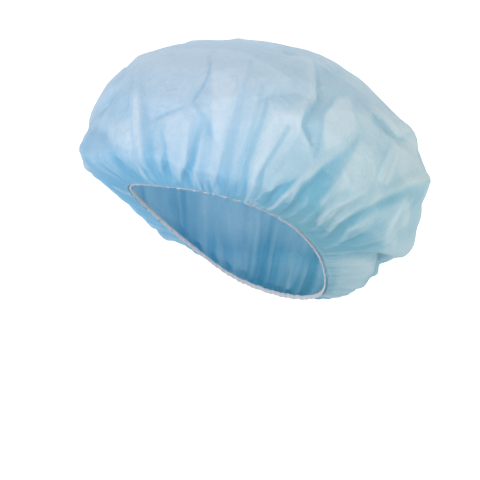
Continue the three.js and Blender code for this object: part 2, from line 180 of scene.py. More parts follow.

# panels between folds: strength (+ deeper colour of doubled cloth and painted shade, - painted light, paler as a single
# layer with light behind it), soft edge in mm, corners
PATCHES = [
    # patches begin
    (0.45, 12, [(-46.5, 0.455), (-38.5, 0.5), (-22.5, 0.48), (-14.5, 0.417), (-9, 0.315), (-10, 0.113), (-9.5, 0.045), (-23.5, 0.015), (-61, 0.022), (-51.5, 0.12), (-43, 0.32)]),
    (0.36, 4, [(-2.5, 0.545), (1.5, 0.547), (8, 0.405), (5, 0.092), (-3, 0.05), (2.5, 0.245), (2.5, 0.4)]),
    (0.24, 2.4, [(-25.5, 0.748), (-13, 0.68), (-5, 0.625), (2.5, 0.527), (-1.5, 0.525), (-8.5, 0.623)]),
    (0.2, 4, [(-25, 0.685), (-17.5, 0.68), (-11, 0.603), (-11, 0.547), (-15, 0.56), (-19.5, 0.62)]),
    (0.5, 1.5, [(8, 0.51), (11.5, 0.415), (8, 0.06), (11, 0.058), (14, 0.305), (12, 0.443)]),
    (0.34, 2.2, [(25, 0.555), (27, 0.537), (25.5, 0.482), (25, 0.388), (21.5, 0.085), (15.5, 0.062), (21.5, 0.34), (23, 0.48)]),
    (0.35, 2.4, [(19.5, 0.618), (25, 0.585), (29.5, 0.547), (30.5, 0.503), (28, 0.5), (27.5, 0.545), (23, 0.58)]),
    (0.36, 4.5, [(41.5, 0.55), (39.5, 0.42), (39, 0.13), (31, 0.092), (34.5, 0.408), (36, 0.537)]),
    (0.26, 2.6, [(45, 0.838), (47.5, 0.825), (43.5, 0.708), (42.5, 0.623), (41.5, 0.53), (36, 0.517), (39, 0.628), (42, 0.73)]),
    (0.5, 1.5, [(52, 0.645), (53.5, 0.63), (49, 0.51), (46, 0.415), (45.5, 0.118), (42.5, 0.092), (43.5, 0.383), (46.5, 0.508)]),
    (0.6, 1.6, [(60.5, 0.57), (62, 0.557), (56.5, 0.485), (52.5, 0.405), (51.5, 0.122), (48, 0.095), (49, 0.352), (53, 0.458)]),
    (1, 1.6, [(52, 0.07), (59.5, 0.055), (60.5, 0.253), (65.5, 0.393), (61.5, 0.35), (57.5, 0.307), (53.5, 0.208)]),
    (0.9, 3.2, [(63, 0.043), (66.5, 0.362), (74, 0.448), (79.5, 0.405), (75.5, 0.292), (82, 0.037), (70.5, 0.055)]),
    (0.6, 4, [(74, 0.448), (91, 0.552), (85.5, 0.485), (79.5, 0.405)]),
    (0.7, 4.5, [(94, 0.03), (87.5, 0.215), (97, 0.338), (111, 0.408), (129, 0.422), (126.5, 0.393), (109.5, 0.365), (98, 0.302), (92, 0.185), (105, 0.025)]),
    (0.6, 5, [(109, 0.372), (128.5, 0.413), (123.5, 0.37), (116.5, 0.343), (111, 0.348)]),
    (0.3, 6, [(107.5, 0.037), (96.5, 0.14), (97.5, 0.223), (103, 0.268), (109.5, 0.198), (114.5, 0.152), (112, 0.085), (114.5, 0.033)]),
    (0.2, 5, [(73.5, 0.662), (76, 0.652), (80.5, 0.633), (75, 0.59), (73, 0.537), (70, 0.527), (66.5, 0.557), (67, 0.588), (70, 0.623)]),
    (0.6, 2.6, [(105, 0.613), (99, 0.588), (103, 0.562), (114.5, 0.54), (110.5, 0.583)]),
    (-0.35, 1.8, [(77.5, 0.613), (85, 0.65), (94, 0.662), (90.5, 0.615), (90, 0.568), (81.5, 0.527), (75.5, 0.495), (75, 0.545)]),
    (-0.45, 2.4, [(109.5, 0.63), (116, 0.62), (131, 0.555), (117, 0.545), (113.5, 0.557), (110, 0.59)]),
    (0.45, 2.6, [(68, 0.62), (72.5, 0.65), (74.5, 0.638), (71.5, 0.6), (69, 0.57), (70.5, 0.537), (69, 0.527), (66.5, 0.555), (66, 0.588)]),
    (0.5, 6, [(123, 0.003), (123.5, 0.025), (133.5, 0.033), (147.5, 0.025), (155.5, 0.013)]),
    (-0.5, 4, [(122.5, 0.043), (124, 0.105), (127.5, 0.122), (137.5, 0.095), (140.5, 0.068), (133.5, 0.037)]),
    (-0.5, 8, [(121, 0.005), (120, 0.048), (123, 0.105), (128, 0.128), (150, 0.098), (160.5, 0.03)]),
    (0.8, 2.4, [(62, 0.018), (86, 0.02), (101.5, 0.01), (114, 0.005), (111.5, 0.043), (98.5, 0.077), (83.5, 0.122), (71.5, 0.158), (63, 0.195)]),
    (0.34, 8, [(101.5, 0.812), (106, 0.74), (111.5, 0.655), (102, 0.62), (92, 0.633), (98.5, 0.682), (85.5, 0.667), (79, 0.682)]),
    (0.22, 14, [(-50, 0.635), (-51, 0.685), (-34, 0.76), (-5, 0.53), (-28.5, 0.512)]),
    (-0.4, 2.4, [(-11, 0.603), (-9.5, 0.61), (-2.5, 0.532), (1.5, 0.425), (-1.5, 0.413), (-5, 0.492)]),
    (-0.35, 2.4, [(-14.5, 0.515), (-8, 0.537), (-2, 0.395), (-7.5, 0.39), (-12, 0.438)]),
    (-0.2, 2.4, [(8, 0.552), (15, 0.573), (20.5, 0.535), (20.5, 0.427), (16.5, 0.125), (13, 0.113), (13.5, 0.42)]),
    (-0.3, 2.4, [(24.5, 0.777), (38, 0.728), (36, 0.583), (34, 0.473), (31.5, 0.487), (29.5, 0.578)]),
    (-0.35, 5, [(82.5, 0.478), (91, 0.53), (95, 0.51), (95.5, 0.43), (86.5, 0.367), (81, 0.36)]),
    (-0.6, 2.4, [(96, 0.413), (102, 0.482), (111.5, 0.54), (113.5, 0.53), (106, 0.47), (100, 0.398)]),
    (-0.35, 2.4, [(109.5, 0.198), (105, 0.273), (107.5, 0.333), (112.5, 0.35), (115, 0.312), (112, 0.235), (117.5, 0.173)]),
    (-0.35, 6, [(114, 0.535), (131.5, 0.535), (125.5, 0.478), (129.5, 0.43), (109, 0.413), (105.5, 0.455)]),
    (-0.3, 2.4, [(50.5, 0.527), (55.5, 0.588), (59, 0.578), (53.5, 0.492), (49.5, 0.39), (47, 0.393)]),
    (-0.25, 2.4, [(53.5, 0.61), (66, 0.59), (65.5, 0.55), (61.5, 0.492), (56.5, 0.458), (57.5, 0.535)]),
    # patches end
]

# painted highlights: paler crests of the sharper folds, in the same columns
CRESTS = [
    # crests begin
    (1, 1, 1, 0.9, 0.25, 1, [(60, 0.037), (60.5, 0.223), (63.5, 0.32), (66, 0.38), (69.5, 0.427)]),
    (0.55, 0.9, 0.9, 0.8, 0.3, 1, [(87, 0.062), (80, 0.217), (85, 0.315), (89.5, 0.362), (93, 0.405), (96.5, 0.445)]),
    (0.4, 0.9, 0.9, 0.8, 0.3, 1, [(96, 0.045), (87, 0.168), (88.5, 0.268), (92, 0.315)]),
    (0.45, 0.9, 0.9, 0.8, 0.3, 1, [(107.5, 0.025), (96, 0.135), (94.5, 0.215), (94, 0.26)]),
    (0.6, 2, 2, 0.4, 0.4, 1, [(115, 0.155), (109, 0.195), (106, 0.258), (107, 0.315), (109, 0.355)]),
    (0.5, 1.2, 1.2, 0.5, 0.6, 1, [(110, 0.623), (113, 0.588), (117, 0.555)]),
    (0.5, 0.7, 0.7, 0.5, 0.5, 1, [(82, 0.443), (83.5, 0.41), (86, 0.375)]),
    (0.7, 2, 1.4, 0.3, 0.4, 1, [(95.5, 0.408), (99.5, 0.475), (108, 0.535)]),
    (0.6, 3, 0.6, 0.1, 0.3, 1, [(2.5, 0.37), (1.5, 0.41), (-1.5, 0.512), (-6, 0.583)]),
    (0.6, 5, 5, 0.3, 0.3, 1, [(-3, 0.393), (-9, 0.492), (-11, 0.547)]),
    (0.7, 4, 0.8, 0.6, 0.3, 1, [(15, 0.09), (20, 0.323), (20, 0.475), (19.5, 0.55)]),
    (0.6, 1.2, 1.2, 0.6, 0.3, 1, [(23, 0.105), (26, 0.388), (26.5, 0.49)]),
    (0.5, 0.9, 0.9, 0.6, 0.3, 1, [(-4, 0.07), (-1, 0.233), (-2, 0.388)]),
    (0.5, 0.9, 0.9, 0.6, 0.3, 1, [(0, 0.062), (1, 0.138), (2.5, 0.343)]),
    (0.4, 2, 0.8, 0.6, 0.3, 1, [(31, 0.115), (34, 0.388), (35, 0.463), (36.5, 0.547), (39.5, 0.672)]),
    (0.5, 3, 0.8, 0.4, 0.3, 1, [(42.5, 0.41), (44, 0.478), (47, 0.58), (50.5, 0.695)]),
    (0.5, 3, 0.8, 0.6, 0.3, 1, [(47.5, 0.217), (49, 0.352), (52.5, 0.453), (56, 0.508), (60.5, 0.565)]),
    (0.3, 2.6, 2.6, 0.5, 0.9, 1, [(93.5, 0.828), (80.5, 0.765), (74, 0.698)]),
    (0.5, 0.8, 1.6, 0.5, 0.6, 1, [(76, 0.723), (74, 0.69), (73.5, 0.66), (68.5, 0.625), (65.5, 0.59), (64.5, 0.565), (66.5, 0.535), (68.5, 0.51)]),
    (0.5, 1.2, 0.8, 0.4, 0.5, 1, [(115.5, 0.045), (114.5, 0.095), (119.5, 0.14)]),
    (0.36, 0.8, 0.8, 0.8, 0.3, 1, [(43, 0.085), (44, 0.235), (45, 0.35)]),
    (0.36, 0.8, 0.8, 0.8, 0.3, 1, [(38, 0.077), (39, 0.23), (39.5, 0.33)]),
    (0.36, 0.8, 0.8, 0.8, 0.3, 1, [(27.5, 0.083), (30, 0.24), (30.5, 0.35)]),
    (0.36, 0.8, 0.8, 0.8, 0.3, 1, [(11, 0.048), (14, 0.16), (16.5, 0.323)]),
    (0.36, 0.8, 0.8, 0.8, 0.3, 1, [(51, 0.055), (51, 0.208), (52.5, 0.305)]),
    (0.36, 0.8, 0.8, 0.8, 0.3, 1, [(71, 0.07), (69, 0.19), (71, 0.28)]),
    (0.36, 0.8, 0.8, 0.8, 0.3, 1, [(78.5, 0.07), (75.5, 0.173), (76, 0.253)]),
    # crests end
]


# ---------------------------------------------------------------- the puffed form
def ease(t):
    t = np.clip(t, 0, 1)
    return t * t * (3 - 2 * t)


def around(phi, col):
    t = ((np.degrees(phi) - SECTIONS[0, 0]) / 30) % 12
    i = np.floor(t).astype(int) % 12
    f = t - np.floor(t)
    v = SECTIONS[:, col]
    a, b, c, d = v[(i - 1) % 12], v[i], v[(i + 1) % 12], v[(i + 2) % 12]
    return 0.5 * (2 * b + (c - a) * f + (2 * a - 5 * b + 4 * c - d) * f * f + (3 * b - a - 3 * c + d) * f ** 3)


def hem_r(phi):
    return 1 / np.hypot(np.sin(phi) / HALF_W, np.cos(phi) / HALF_L)


def hem_z(phi):
    return (FRONT_Z + BACK_Z) / 2 + (FRONT_Z - BACK_Z) / 2 * np.cos(phi) + around(phi, 1)


PART_S = [-0.14, 0, 0.14, 0.42, 0.66, 0.84, 1, 1.16]


def profile(phi, s):
    phi, s = np.broadcast_arrays(phi, s)
    p = [(hem_r(phi), hem_z(phi))]
    p += [(around(phi, c), around(phi, c + 1)) for c in (2, 4, 6, 8)]
    p += [(np.zeros(phi.shape), np.full(phi.shape, TOP_Z)), (-around(phi + np.pi, 8), around(phi + np.pi, 9))]
    p = [(2 * p[0][0] - p[1][0], 2 * p[0][1] - p[1][1])] + p
    out = [np.zeros(phi.shape), np.zeros(phi.shape)]
    for k in range(1, 6):
        m = (s >= PART_S[k]) & ((s <= PART_S[k + 1]) if k == 5 else (s < PART_S[k + 1]))
        if not m.any():
            continue
        t0, t1, t2, t3 = PART_S[k - 1:k + 3]
        x = s[m]
        for c in (0, 1):
            q0, q1, q2, q3 = (p[k - 1 + n][c][m] for n in range(4))
            a1 = ((t1 - x) * q0 + (x - t0) * q1) / (t1 - t0)
            a2 = ((t2 - x) * q1 + (x - t1) * q2) / (t2 - t1)
            a3 = ((t3 - x) * q2 + (x - t2) * q3) / (t3 - t2)
            b1 = ((t2 - x) * a1 + (x - t0) * a2) / (t2 - t0)
            b2 = ((t3 - x) * a2 + (x - t1) * a3) / (t3 - t1)
            out[c][m] = ((t2 - x) * b1 + (x - t1) * b2) / (t2 - t1)
    return out


def smooth_point(phi, s):
    r, z = profile(phi, s)
    return np.stack([r * np.sin(phi), -r * np.cos(phi) + TOP_Y * ease((s - 0.3) / 0.7), z], -1)


def grid_normals(P):
    du = np.roll(P, -1, 1) - np.roll(P, 1, 1)
    dv = np.empty_like(P)
    dv[1:-1] = P[2:] - P[:-2]
    dv[0] = P[1] - P[0]
    dv[-1] = P[-1] - P[-2]
    n = np.cross(du, dv)
    return n / np.maximum(np.linalg.norm(n, axis=2, keepdims=True), 1e-9)


LENGTH = 300.0                       # millimetres from hem to top, for distances along s


def smooth_line(pts):
    p = np.array(pts, float)
    if len(p) < 3:
        return p
    q = np.vstack([2 * p[0] - p[1], p, 2 * p[-1] - p[-2]])
    out = []
    for k in range(len(p) - 1):
        a, b, c, d = q[k:k + 4]
        for f in (0, 0.25, 0.5, 0.75):
            out.append(0.5 * (2 * b + (c - a) * f + (2 * a - 5 * b + 4 * c - d) * f * f + (3 * b - a - 3 * c + d) * f ** 3))
    return np.array(out + [p[-1]])


def add_fold(h, phi, s, r, row, sharp=1.05, band=False):
    """Adds one crease to the relief h: straight flanks that meet in a sharp line."""
    height, left, right, first, last, narrow, pts = row
    line = smooth_line(pts)
    n = len(line)
    mid = (line[:, 0].min() + line[:, 0].max()) / 2
    half = (line[:, 0].max() - line[:, 0].min()) / 2
    far = max(left, right) + 2
    da = (np.degrees(phi) - mid + 180) % 360 - 180
    near = (s > line[:, 1].min() - far / LENGTH) & (s < line[:, 1].max() + far / LENGTH) & (np.abs(da) < half + np.degrees(far / r))
    i = np.nonzero(near)
    x0, s0, r0 = np.radians(da[i]), s[i], r[i]
    best, along, side = np.full(x0.shape, 1e9), np.zeros(x0.shape), np.zeros(x0.shape)
    for k in range(n - 1):
        ax, ay = (np.radians(line[k, 0] - mid) - x0) * r0, (line[k, 1] - s0) * LENGTH
        ex, ey = np.radians(line[k + 1, 0] - line[k, 0]) * r0, (line[k + 1, 1] - line[k, 1]) * LENGTH
        t = np.clip(-(ax * ex + ay * ey) / (ex * ex + ey * ey + 1e-9), 0, 1)
        d = np.hypot(ax + t * ex, ay + t * ey)
        new = d < best
        best = np.where(new, d, best)
        along = np.where(new, (k + t) / (n - 1), along)
        side = np.where(new, ey * ax - ex * ay, side)
    reach = np.where(side > 0, left, right) * (narrow + (1 - narrow) * along)
    high = height * np.interp(along, [0, 0.3, 1], [first, 1, last])
    if band:
        # a wide band fades out across its reach, a narrow one has edges
        share = np.where(reach > 20, 1 - best / np.maximum(reach, 1), (reach + 1.3 - best) / 1.3)
        h[i] = np.maximum(h[i], high * np.clip(share, 0, 1))
    else:
        h[i] += high * np.clip(1 - best / np.maximum(reach, 0.5), 0, 1) ** sharp


def gathers(u, t, hoop, seed):
    """Sharp narrow pleats that run up from the elastic, most of them short."""
    rng = np.random.RandomState(seed)
    U, T = np.broadcast_arrays(u[None, :], t[:, None])
    h = np.zeros(U.shape)
    n = 176
    for i in range(n):
        at = (i + rng.uniform(-0.35, 0.35)) / n
        top = 0.06 + 0.28 * rng.uniform() ** 2.0
        high, slant, wide = rng.uniform(1.0, 2.4), rng.uniform(-0.03, 0.03), rng.uniform(1.3, 2.2)
        m = t < top
        x = ((U[m] - at - slant * T[m] + 0.5) % 1 - 0.5) * hoop[m, None]
        h[m] += high * (1 - T[m] / top) ** 0.7 * np.clip(1 - np.abs(x) / (wide * (1 + 1.4 * T[m] / top)), 0, 1)
    return h


def crinkles(h, phi, s, r, seed):
    """Slight chance creases all over."""
    rng = np.random.RandomState(seed)
    for _ in range(240):
        deg, at, turn, long = rng.uniform(-180, 180), rng.uniform(0.12, 0.93), rng.normal(0, 0.7), rng.uniform(12, 45)
        rr = np.interp(at, [0, 0.14, 0.42, 0.66, 0.84, 1], [90, 118, 150, 116, 68, 10])
        dx, dy, bend = np.degrees(long * math.sin(turn) / rr) / 2, long * math.cos(turn) / LENGTH / 2, rng.uniform(-3, 3) / rr * 57
        w = rng.uniform(3, 7)
        row = (rng.choice([-1, 1]) * rng.uniform(0.2, 0.6), w, w * rng.uniform(0.5, 1.5), 0.2, 0.2, 1, [(deg - dx, at - dy), (deg + bend, at), (deg + dx, at + dy)])
        add_fold(h, phi, s, r, row)


def layout():
    """Columns evenly along the hem and rows by distance from it, with each point's place on the flat disc."""
    ph = np.linspace(-np.pi, np.pi, 7201)
    r = hem_r(ph)
    x, y, z = r * np.sin(ph), -r * np.cos(ph), hem_z(ph)
    arc = np.concatenate([[0], np.cumsum(np.sqrt(np.diff(x) ** 2 + np.diff(y) ** 2 + np.diff(z) ** 2))])
    u = np.arange(AROUND) / AROUND
    phi = np.interp(u * arc[-1], arc, ph)
    k = np.linspace(0, 1, ROWS)
    t = (0.55 * k + 0.45 * k ** 1.8) * 0.985
    ss = np.linspace(0, 1, 401)
    line = smooth_point(phi[None, :] + 0 * ss[:, None], ss[:, None] + 0 * phi[None, :])
    cum = np.concatenate([np.zeros((1, AROUND)), np.cumsum(np.linalg.norm(np.diff(line, axis=0), axis=2), 0)])
    S = np.stack([np.interp(t * cum[-1, j], cum[:, j], ss) for j in range(AROUND)], 1)
    th = 2 * np.pi * u + np.pi
    rim = SHEET_R * np.stack([np.sin(th), -np.cos(th)], -1)
    flat = rim[None] + t[:, None, None] * (np.array([0.0, -POLE]) - rim)[None]
    return u, phi, t, S, flat


def blur(A, times):
    A = A.copy()
    for _ in range(times):
        A = (A + np.roll(A, 1, 1) + np.roll(A, -1, 1)) / 3
        A[1:-1] = (A[1:-1] + A[:-2] + A[2:]) / 3
    return A


def facets(base, N, phi, s, seed):
    """Distance from the smooth form to a form made of many flat pieces, longer up and down than across."""
    rng = np.random.RandomState(seed)
    height = np.full(s.shape, 1e9)
    spots = []
    for _ in range(190):
        # of several chance places, the one furthest from the rest
        best = None
        for _ in range(12):
            a, x = rng.uniform(-np.pi, np.pi), rng.uniform(0.1, 0.97)
            wide = np.interp(x, [0, 0.14, 0.42, 0.66, 0.84, 1], [90, 118, 150, 116, 68, 15])
            gap = min((math.hypot(math.remainder(a - b, 2 * math.pi) * wide * 1.5, (x - y) * LENGTH) for b, y in spots), default=1e9)
            if best is None or gap > best[0]:
                best = (gap, a, x)
        spots.append(best[1:])
    e = 0.01
    for a, x in spots:
        c, u, v = smooth_point(np.array([a, a + e, a]), np.array([x, x, x + e]))
        n = np.cross(u - c, v - c)
        n = n / np.linalg.norm(n) + rng.normal(0, 0.05, 3)
        n /= np.linalg.norm(n)
        lean = N @ n
        height = np.minimum(height, np.where(lean > 0.5, ((c - base) @ n) / np.maximum(lean, 0.5), 1e9))
    height = np.clip(height, -2.5, 4.0)
    return height - blur(height, 30)


def add_patch(h, phi, s, r, strength, soft, pts):
    """Raises h to the strength inside a panel's outline, over a soft edge."""
    p = np.array(pts, float)
    mid = (p[:, 0].min() + p[:, 0].max()) / 2
    half = (p[:, 0].max() - p[:, 0].min()) / 2
    da = (np.degrees(phi) - mid + 180) % 360 - 180
    i = np.nonzero((s > p[:, 1].min() - soft / LENGTH) & (s < p[:, 1].max() + soft / LENGTH) & (np.abs(da) < half + np.degrees(soft / r)))
    x0, y0, r0 = np.radians(da[i]), s[i] * LENGTH, r[i]
    px, py = np.radians(p[:, 0] - mid), p[:, 1] * LENGTH
    inside, edge = np.zeros(x0.shape, bool), np.full(x0.shape, 1e9)
    for k in range(len(p)):
        l = (k + 1) % len(p)
        cut = (py[k] > y0) != (py[l] > y0)
        at = px[k] + (y0 - py[k]) / (py[l] - py[k] + 1e-12) * (px[l] - px[k])
        inside ^= cut & (x0 < at)
        ax, ay, ex, ey = (px[k] - x0) * r0, py[k] - y0, (px[l] - px[k]) * r0, py[l] - py[k]
        t = np.clip(-(ax * ex + ay * ey) / (ex * ex + ey * ey + 1e-9), 0, 1)
        edge = np.minimum(edge, np.hypot(ax + t * ex, ay + t * ey))
    h[i] = np.maximum(h[i], strength * np.clip(0.5 + np.where(inside, edge, -edge) / soft, 0, 1))


def far_side(seed):
    """Folds, bands and crests for the back and the far side: pleats that rise from the hem and a few creases above."""
    rng = np.random.RandomState(seed)
    folds, bands, crests = [], [], []

    def pleat(deg):
        lean, bend, top = rng.uniform(-5, 5), rng.uniform(-3, 3), rng.uniform(0.2, 0.64)
        line = [(deg, 0.012), (deg + 0.4 * lean + bend, top / 2), (deg + lean, top)]
        beside = [(a + 2 + 8 * b, b) for a, b in line]
        high = rng.uniform(2.5, 5.0)
        folds.append((high, rng.uniform(8, 18), rng.uniform(6, 10), 0.45, 0.2, 0.4, line))
        folds.append((-high * rng.uniform(0.5, 0.9), 6, 10, 0.5, 0.2, 0.4, beside))
        # painted highlight along each pleat's crest, and on most pleats a band of painted shade on one flank
        crests.append((rng.uniform(0.4, 0.8), 0.9, 0.9, 0.8, 0.2, 1, line))
        if rng.uniform() < 0.65:
            bands.append((rng.uniform(0.35, 0.75), 0, rng.uniform(5, 12), 1, 0.2, 0.5, line))

    deg = 138.0
    while deg < 292:
        pleat(deg)
        deg += rng.uniform(4, 8)
    for _ in range(30):
        deg, at, turn, long = rng.uniform(145, 300), rng.uniform(0.4, 0.86), rng.normal(0, 0.7), rng.uniform(25, 75)
        dx, dy = np.degrees(long * math.sin(turn) / 120) / 2, long * math.cos(turn) / LENGTH / 2
        line = [(deg - dx, at - dy), (deg + rng.uniform(-3, 3), at), (deg + dx, at + dy)]
        sign = rng.choice([-1, 1])
        folds.append((sign * rng.uniform(2, 3.6), rng.uniform(8, 20), rng.uniform(5, 9), 0.3, 0.3, 1, line))
        # ridges get a painted highlight, valleys a band of painted shade
        (crests if sign > 0 else bands).append((rng.uniform(0.3, 0.6), 0.7, 0.7, 0.3, 0.3, 1, line))
    for deg in (121.0, 126.5, 132.0):
        pleat(deg)
    return folds, bands, crests


def far_share(phi, s):
    """How far a point belongs to the back and the far side, 0 to 1."""
    deg = np.degrees(phi)
    limit = 88 - 28 * ease((s - 0.18) / 0.2)
    start = 134 + 14 * ease((s - 0.5) / 0.12)
    return np.maximum(ease((deg - start) / 14), ease((-deg - limit) / 18))


def lay_folds(table, far_table, phi, s, r, band=False):
    """Relief or strength of a table's folds, with the far side's own where the first ones end."""
    near, far = np.zeros(s.shape), np.zeros(s.shape)
    for h, rows in ((near, table), (far, far_table)):
        for row in rows:
            if len(row) == 3:
                add_patch(h, phi, s, r, *row)
            else:
                add_fold(h, phi, s, r, row, band=band)
    far *= far_share(phi, s)
    return np.maximum(near, far) if band else near + far


def make_sheet():
    u, phi, t, S, flat = layout()
    PH = phi[None, :] + 0 * S
    base = smooth_point(PH, S)
    r = np.maximum(np.abs(profile(PH, S)[0]), 1)
    far_folds, far_bands, far_crests = far_side(21)
    h = lay_folds(FOLDS, far_folds, PH, S, r)
    for row in DENTS:
        add_fold(h, PH, S, r, row)
    # deeper colour for doubled cloth and painted shade, from the bands and panels
    layers_and_painted_shade = lay_folds(BANDS + [p for p in PATCHES if p[0] > 0], far_bands, PH, S, r, band=True)
    # painted highlights along the crests of the sharper folds
    painted_highlight_and_hem = lay_folds(CRESTS, far_crests, PH, S, r, band=True)
    # painted light: panels with negative strength make the colour paler
    pale = lay_folds([(-p[0], p[1], p[2]) for p in PATCHES if p[0] < 0], [], PH, S, r, band=True)
    layers_and_painted_shade = layers_and_painted_shade - pale
    N = grid_normals(base)
    h += facets(base, N, PH, S, 7) * (0.62 + 0.3 * far_share(PH, S))
    crinkles(h, PH, S, r, 11)
    h *= ease(S / 0.13)
    hoop = np.linalg.norm(np.roll(base, -1, 1) - base, axis=2).sum(1)
    low = 1 - 0.85 * ease((np.degrees(PH) - 108) / 12) * ease((172 - np.degrees(PH)) / 12) * ease((t[:, None] - 0.02) / 0.03)
    pleats = gathers(u, t, hoop, 3) * (0.5 + 0.5 * ease(t / 0.035))[:, None] * low
    h += pleats
    # the hem's own edge: scalloped by the pleats, and pale where it is turned over the elastic
    base[..., 2] -= 0.45 * (pleats - 1.0) * (1 - ease(t / 0.03))[:, None]
    painted_highlight_and_hem = np.maximum(painted_highlight_and_hem, 0.35 * (1 - ease((t - 0.004) / 0.006))[:, None])
    P = base + N * h[..., None]
    rise = h - blur(h, 40)
    return P, t, phi, flat, rise, layers_and_painted_shade, painted_highlight_and_hem


# ---------------------------------------------------------------- meshes
def new_object(name, verts, faces, material):
    me = bpy.data.meshes.new(name)
    me.from_pydata(verts.tolist(), [], faces)
    me.polygons.foreach_set("use_smooth", [True] * len(me.polygons))
    me.materials.append(material)
    me.validate()
    me.update()
    ob = bpy.data.objects.new(name, me)
    bpy.context.scene.collection.objects.link(ob)
    return ob


def point_attribute(ob, name, kind, values):
    a = ob.data.attributes.new(name, kind, 'POINT')
    a.data.foreach_set("vector" if kind == 'FLOAT_VECTOR' else "value", np.ascontiguousarray(values, dtype=F).ravel())


def build_crown(material):
    P, t, phi, flat, rise, layers_and_painted_shade, painted_highlight_and_hem = make_sheet()
    turn = 2 * np.pi * np.arange(AROUND) / AROUND
    loop = np.stack([98.7 * np.cos(turn), 98.7 * np.sin(turn)], -1)
    N = grid_normals(P)
    # painted shade: how far a point lies below its surroundings, deepening the colour in hollows and paling it on
    # ridges
    valley = -rise
    gather = np.interp(t, [0, 0.05, 0.1, 0.2, 0.45, 0.65], [1.5, 1.3, 1.08, 0.58, 0.2, 0.0])[:, None] + 0 * valley
    deg = np.degrees(phi)
    gather = gather * (1 - 0.42 * ease((deg - 108) / 14) * ease((172 - deg) / 14))[None, :]
    step = np.where(t < 0.66, 1, np.where(t < 0.86, 2, 4))
    rows, pts, nrm, att = [], [], [], []
    count = 0
    for i in range(ROWS):
        cols = np.arange(0, AROUND, step[i])
        rows.append(count + np.arange(len(cols)))
        count += len(cols)
        pts.append(P[i, cols])
        nrm.append(N[i, cols])
        att.append(np.column_stack([flat[i, cols], valley[i, cols], gather[i, cols], layers_and_painted_shade[i, cols], painted_highlight_and_hem[i, cols], loop[cols], np.full(len(cols), t[i] * LENGTH / 14)]))
    pts.append(np.array([[0, TOP_Y, TOP_Z]]))
    nrm.append(np.array([[0.0, 0, 1]]))
    att.append(np.array([[0, -POLE, 0, 0, 0, 0, 0, 0, LENGTH / 14]]))
    tip = count
    count += 1
    pts, nrm, att = np.concatenate(pts), np.concatenate(nrm), np.concatenate(att)
    faces = []
    for a, b in zip(rows[:-1], rows[1:]):
        n = len(b)
        if len(a) == n:
            for i in range(n):
                j = (i + 1) % n
                faces.append((a[i], a[j], b[j], b[i]))
        else:
            for i in range(n):
                j = (i + 1) % n
                p, q, s = a[2 * i], a[2 * i + 1], a[(2 * i + 2) % len(a)]
                faces += [(p, q, b[i]), (q, b[j], b[i]), (q, s, b[j])]
    last = rows[-1]
    faces += [(last[i], last[(i + 1) % len(last)], tip) for i in range(len(last))]
    back = [tuple(count + v for v in reversed(f)) for f in faces]
    hem = rows[0]
    rim = [(hem[(i + 1) % len(hem)], hem[i], count + hem[i], count + hem[(i + 1) % len(hem)]) for i in range(len(hem))]
    verts = np.concatenate([pts + nrm * THICK / 2, pts - nrm * THICK / 2]) / 1000
    ob = new_object("cap_sheet", verts, [tuple(int(v) for v in f) for f in faces + back + rim], material)
    two = np.concatenate([att, att])
    point_attribute(ob, "flat", 'FLOAT_VECTOR', np.column_stack([two[:, :2] / 1000, np.zeros(len(two))]))
    point_attribute(ob, "fan", 'FLOAT_VECTOR', two[:, 6:9] / 1000)
    point_attribute(ob, "valley", 'FLOAT', two[:, 2])
    point_attribute(ob, "gather", 'FLOAT', two[:, 3])
    # deeper colour for doubled cloth and painted shade, painted light where it is negative
    point_attribute(ob, "layers_and_painted_shade", 'FLOAT', two[:, 4])
    # painted highlights on the crests, and the pale hem edge over the elastic
    point_attribute(ob, "painted_highlight_and_hem", 'FLOAT', two[:, 5])
    return ob


def build_band(material):
    n = AROUND
    phi = np.arange(n) / n * 2 * np.pi
    # section of the band: outer face with three shallow ribs, rounded edges, plain inner face
    k = np.linspace(0, 1, 13)
    outer = [(0.10 * (1 - abs(math.cos(3 * math.pi * a))) + 0.22 * (2 * a - 1) ** 8, BAND_H * a) for a in k]
    inner = [(BAND_T - 0.22 * (2 * a - 1) ** 8, BAND_H * a) for a in k[::-2]]
    sec = outer + inner
    pts, along = [], []
    wave = 118 * phi + 2 * np.sin(5 * phi) + 1.6 * np.sin(17 * phi + 1) + 1.1 * np.sin(31 * phi + 2)
    wob = 0.34 * np.sin(wave) + 0.22 * np.sin(47 * phi + 1.0)
    ruff = 0.30 * np.sin(wave + 1.2) + 0.18 * np.sin(71 * phi + 0.5)
    for x, y in sec:
        r = hem_r(phi) - BAND_INSET - x + ruff
        pts.append(np.stack([r * np.sin(phi), -r * np.cos(phi), hem_z(phi) - BAND_DROP + y + wob], -1))
        along.append(np.stack([phi * 0.1, np.full(n, y / 1000), np.full(n, x / 1000)], -1))
    m = len(sec)
    faces = []
    for k in range(m):
        l = (k + 1) % m
        for i in range(n):
            j = (i + 1) % n
            faces.append((k * n + i, k * n + j, l * n + j, l * n + i))
    ob = new_object("hem_elastic", np.concatenate(pts) / 1000, faces, material)
    point_attribute(ob, "along", 'FLOAT_VECTOR', np.concatenate(along))
    point_attribute(ob, "ruffle", 'FLOAT', np.tile(ruff, m))
    return ob


